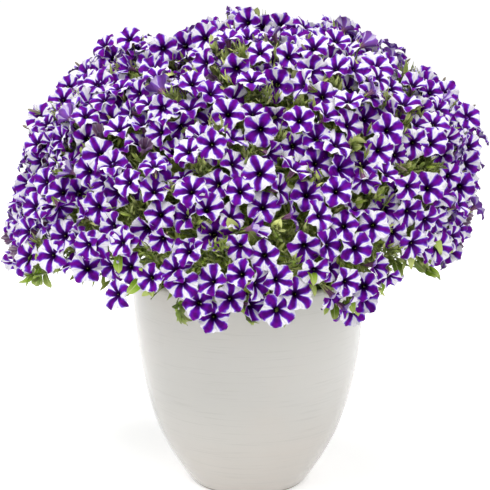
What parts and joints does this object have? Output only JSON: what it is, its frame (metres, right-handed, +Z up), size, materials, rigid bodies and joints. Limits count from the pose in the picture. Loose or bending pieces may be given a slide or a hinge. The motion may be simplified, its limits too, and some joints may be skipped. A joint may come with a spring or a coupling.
{
  "type": "potted petunia",
  "caption": "Mound of striped trumpet blooms and leaves growing over the lip of a tall round glazed planter.",
  "frame": {"origin": "centre of the planter's foot, on the surface that it stands on", "axes": "+Z up; -Y towards the side that the picture shows; +X to the right as seen from there"},
  "size_m": [0.8251, 0.8077, 0.825],
  "materials": {
    "glaze": "gloss",
    "potting_mix": "matte",
    "petals": "matte",
    "leaves": "matte"
  },
  "bodies": {
    "root": {"bloom_spray_01": "petals", "bloom_spray_02": "petals", "bloom_spray_03": "petals", "bloom_spray_04": "petals", "bloom_spray_05": "petals", "bloom_spray_06": "petals", "bloom_spray_07": "petals", "bloom_spray_08": "petals", "bloom_spray_09": "petals", "bloom_spray_10": "petals", "bloom_spray_11": "petals", "bloom_spray_12": "petals", "bloom_spray_13": "petals", "bloom_spray_14": "petals", "bloom_spray_15": "petals", "bloom_spray_16": "petals", "bloom_spray_17": "petals", "bloom_spray_18": "petals", "bloom_spray_19": "petals", "bloom_spray_20": "petals", "bloom_spray_21": "petals", "bloom_spray_22": "petals", "bloom_spray_23": "petals", "bloom_spray_24": "petals", "bloom_spray_25": "petals", "bloom_spray_26": "petals", "bloom_spray_27": "petals", "bloom_spray_28": "petals", "bloom_spray_29": "petals", "bloom_spray_30": "petals", "bloom_spray_31": "petals", "bloom_spray_32": "petals", "bloom_spray_33": "petals", "bloom_spray_34": "petals", "bloom_spray_35": "petals", "bloom_spray_36": "petals", "bloom_spray_37": "petals", "leafy_shoot_01": "leaves", "leafy_shoot_02": "leaves", "leafy_shoot_03": "leaves", "leafy_shoot_04": "leaves", "leafy_shoot_05": "leaves", "leafy_shoot_06": "leaves", "leafy_shoot_07": "leaves", "leafy_shoot_08": "leaves", "leafy_shoot_09": "leaves", "leafy_shoot_10": "leaves", "leafy_shoot_11": "leaves", "leafy_shoot_12": "leaves", "leafy_shoot_13": "leaves", "leafy_shoot_14": "leaves", "leafy_shoot_15": "leaves", "leafy_shoot_16": "leaves", "leafy_shoot_17": "leaves", "leafy_shoot_18": "leaves", "leafy_shoot_19": "leaves", "leafy_shoot_20": "leaves", "leafy_shoot_21": "leaves", "pot": "glaze", "potting_mix": "potting_mix"}
  },
  "joints": []
}
